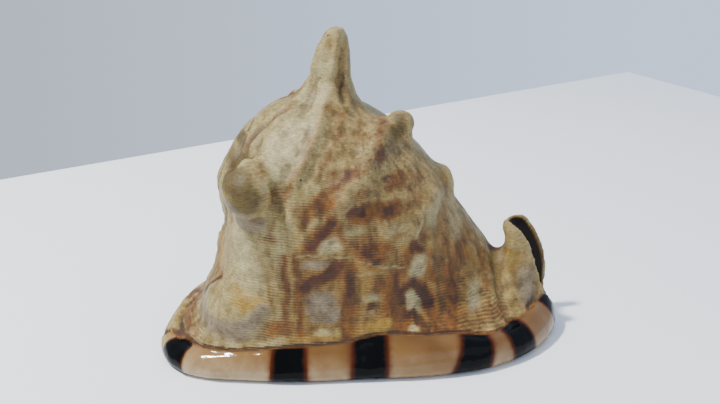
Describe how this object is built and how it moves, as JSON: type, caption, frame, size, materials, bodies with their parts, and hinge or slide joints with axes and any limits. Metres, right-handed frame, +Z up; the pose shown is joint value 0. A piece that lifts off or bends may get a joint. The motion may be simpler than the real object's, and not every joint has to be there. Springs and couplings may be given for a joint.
{
  "type": "king helmet shell",
  "caption": "Large helmet sea shell lying on its toothed aperture, with a tall blunt horn, a thick rolled lip and an upturned canal.",
  "frame": {"origin": "on the table, under the middle of the shell's bounding box", "axes": "+X from the spire to the siphonal canal, -Y towards the outer lip, +Z up through the horn"},
  "size_m": [0.1796, 0.1329, 0.137],
  "materials": {
    "shell": "matt, worn outer shell with a glossy lip"
  },
  "bodies": {
    "root": {"helmet_shell": "shell"}
  },
  "joints": []
}
